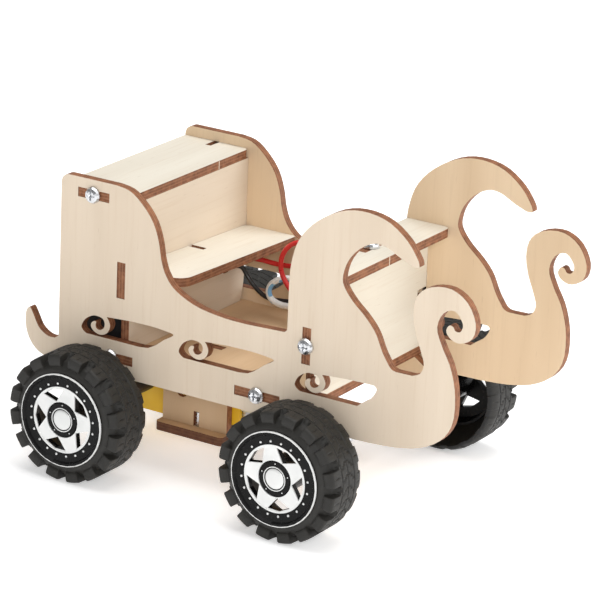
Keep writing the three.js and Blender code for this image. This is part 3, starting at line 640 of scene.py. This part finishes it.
# ---------------------------------------------------------------- snapped joints
# Where a panel was broken out of its sheet: the foot of the joint on the panel's front edge,
# in mm from the rear axle.
SNAPPED = {"roof": (8.1, 16, 89.4), "hood": (86.6, -4.3, 78.2)}
# Its outline across and up the edge, and how far it reaches behind and in front of the edge's face.
SNAPPED_OUTLINE = [
    (-0.2, 0.1), (0.24, 0.1), (0.2, 0.8), (0.27, 1.5), (0.19, 2.2), (0.24, 2.9), (-0.22, 2.9), (-0.16, 1.4),
]
SNAPPED_REACH = (-0.02, 0.05)


def snapped_joint(name, place):
    """Pale torn wood standing a hair proud of the scorched edge, ragged along one side."""
    x, y, z = place
    vertices = []
    for out in SNAPPED_REACH:
        front = (x + out) * MM + REAR_AXLE_X
        vertices += [(front, (y + across) * MM, (z + up) * MM) for across, up in SNAPPED_OUTLINE]
    count = len(SNAPPED_OUTLINE)
    faces = [tuple(range(count)), tuple(range(2 * count - 1, count - 1, -1))]
    for i in range(count):
        j = (i + 1) % count
        faces.append((i, j, count + j, count + i))
    piece = new_piece(f"snapped_joint_{name}", vertices, faces, "backrest")
    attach(piece, "chassis")


# ---------------------------------------------------------------- leads
# Diameters and centre lines in mm, the lines' x from the rear axle. Hidden runs are included.
LEADS = {
    "lead_black": {
        "diameter": 1.6,
        "route": [
            (3.1, 21, 53.8), (8, 21, 53.8), (11, 22.6, 54.8), (13.4, 24.1, 54.4), (15.2, 24.7, 51.7),
            (17.4, 24.8, 49.3), (19.6, 24.9, 47.4), (22, 25, 46), (25, 25.1, 45.4), (28.6, 25.1, 45.6),
            (32.4, 25, 46), (36.4, 24.6, 45.8), (41, 22.3, 44.6), (45.2, 18, 43), (48.2, 13.2, 41.8),
            (49.7, 9.6, 40.4), (50.2, 7.6, 38.4), (50.6, 7, 36.4), (51.8, 6.8, 34.2), (54.6, 6.2, 32.2),
            (56.8, 5.2, 30.2), (57, 4.4, 28.2), (55.6, 4, 27.2), (53.8, 4, 27),
        ],
    },
    "lead_red": {
        "diameter": 1.7,
        "route": [
            (3.1, 24, 57), (8, 24, 57), (12, 25.6, 57.2), (17.6, 28.4, 56.9), (23, 29.8, 56.2),
            (28.6, 30, 56.5), (35, 28.8, 57.8), (41, 25.6, 61), (45, 21.6, 65.6), (44.4, 17.6, 69.6),
            (40.5, 15.5, 71), (36.7, 15, 68.6), (34.5, 15, 64.4), (34.6, 15.1, 59.8), (37, 15.1, 55.8),
            (42, 13.8, 51.8), (47.2, 9.8, 48.2), (50.2, 5.4, 44.2), (50.9, 4.4, 40), (51, 4.2, 36.6),
            (52.4, 2.6, 34.3), (55, -0.6, 32.6), (56.8, -2.8, 30.6), (57, -3.8, 28.4), (55.6, -4, 27.2),
            (53.8, -4, 27),
        ],
    },
    "lead_white": {
        "diameter": 2.1,
        "route": [
            (69.8, -7, 48.6), (66.2, -6.4, 48.4), (60.6, -0.6, 47.6), (53.6, 8.6, 46.6),
            (45, 16.8, 45.7), (38, 21, 45.4), (33.6, 22.3, 45.4), (30.6, 22.4, 45.3), (28, 22.4, 45.8),
            (26.1, 22.3, 47.1), (25.5, 22.2, 49), (26, 22.1, 51), (27.7, 22, 52.9), (30.4, 22, 54.5),
            (33.6, 22, 55.3), (37.6, 21.2, 55.2), (43.4, 18.2, 54.3), (51, 12, 54), (58.6, 4, 54.2),
            (64.4, -3, 54.5), (66.8, -6.2, 54.6), (69.8, -7, 54.6),
        ],
    },
}
STEPS_PER_SPAN = 8


def smooth_line(points):
    """Points along a Catmull-Rom curve through the given ones."""
    ends = [2 * points[0] - points[1], *points, 2 * points[-1] - points[-2]]
    line = []
    for a, b, c, d in zip(ends, ends[1:], ends[2:], ends[3:]):
        for i in range(STEPS_PER_SPAN):
            t = i / STEPS_PER_SPAN
            bend = 2 * a - 5 * b + 4 * c - d
            twist = 3 * b - a - 3 * c + d
            line.append(0.5 * (2 * b + (c - a) * t + bend * t * t + twist * t**3))
    return [*line, points[-1]]


def lead(name, spec):
    """Insulated wire along its route."""
    points = [Vector((x * MM + REAR_AXLE_X, y * MM, z * MM)) for x, y, z in spec["route"]]
    line = smooth_line(points)
    data = bpy.data.curves.new(f"{name}_insulation", "CURVE")
    data.dimensions = "3D"
    data.bevel_depth = spec["diameter"] * MM / 2
    data.bevel_resolution = 4
    data.use_fill_caps = True
    spline = data.splines.new("POLY")
    spline.points.add(len(line) - 1)
    for place, point in zip(spline.points, line):
        place.co = (*point, 1)
    data.materials.append(MATERIALS[SLOT_LOOK[name]])
    obj = bpy.data.objects.new(f"{name}_insulation", data)
    bpy.context.collection.objects.link(obj)
    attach(obj, "chassis")
    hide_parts(name)


# ---------------------------------------------------------------- floor and light
FLOOR_HALF = 40.0
# The paper's glow: its strength at a near and a far distance from the car, in metres.
GLOW_NEAR, GLOW_FAR = (0.2, 0.38), (0.9, 0.9)
FILL = 0.32
LIGHTS = {
    "beside_camera": {"place": (0.58, -0.93, 0.47), "target": (0, 0, 0.04), "size": 0.25, "power": 4.0},
    "high_front": {"place": (1.05, 0.05, 0.85), "target": (0, 0, 0.05), "size": 1.0, "power": 4.7},
    "far_front": {"place": (0.9, 0.8, 0.3), "target": (0.05, 0, 0.03), "size": 0.8, "power": 5},
    "top": {"place": (0, 0.1, 1.2), "target": (0, 0, 0.04), "size": 1.0, "power": 10},
}


def add_floor():
    """Sheet of white studio paper that glows a little, and more towards the backdrop."""
    half = FLOOR_HALF
    corners = [(-half, -half, 0), (half, -half, 0), (half, half, 0), (-half, half, 0)]
    floor = new_piece("studio_floor", corners, [(0, 1, 2, 3)], "bead_white")
    p = Paint("studio_paper")
    mottling = p.noise([3] * 3, detail=2)
    p.colour(p.ramp(mottling, (0.3, (0.93, 0.93, 0.93)), (0.7, (0.95, 0.95, 0.95))))
    away = p.nodes.new("ShaderNodeVectorMath")
    away.operation = "LENGTH"
    p.link(p.place, away.inputs[0])
    near, dim = GLOW_NEAR
    far, bright = GLOW_FAR
    glow = p.band(away.outputs["Value"], near, far, dim, bright)
    p.link(glow, p.shader.inputs["Emission Strength"])
    floor.data.materials[0] = p.set(Roughness=0.9, Specular_IOR_Level=0.1, Emission_Color=(1, 1, 1, 1))


def add_light(name, place, target, size, power):
    """Square soft light; places and size in metres, power in watts."""
    data = bpy.data.lights.new(name, "AREA")
    data.size = size
    data.energy = power
    obj = bpy.data.objects.new(name, data)
    bpy.context.collection.objects.link(obj)
    obj.location = place
    obj.rotation_euler = (Vector(target) - Vector(place)).to_track_quat("-Z", "Y").to_euler()


def light_scene():
    """Even white fill, the soft lights, and a plain response to them."""
    world = bpy.data.worlds.new("studio")
    world.use_nodes = True
    background = world.node_tree.nodes["Background"]
    background.inputs["Color"].default_value = (1, 1, 1, 1)
    background.inputs["Strength"].default_value = FILL
    bpy.context.scene.world = world
    for name, spec in LIGHTS.items():
        add_light(name, **spec)
    bpy.context.scene.view_settings.view_transform = "Standard"
    bpy.context.scene.view_settings.look = "None"


add_camera()
for lead_name, lead_spec in LEADS.items():
    lead(lead_name, lead_spec)
paint_cad_nodes()
build_wheels()
for panel, foot in SNAPPED.items():
    snapped_joint(panel, foot)
add_floor()
light_scene()
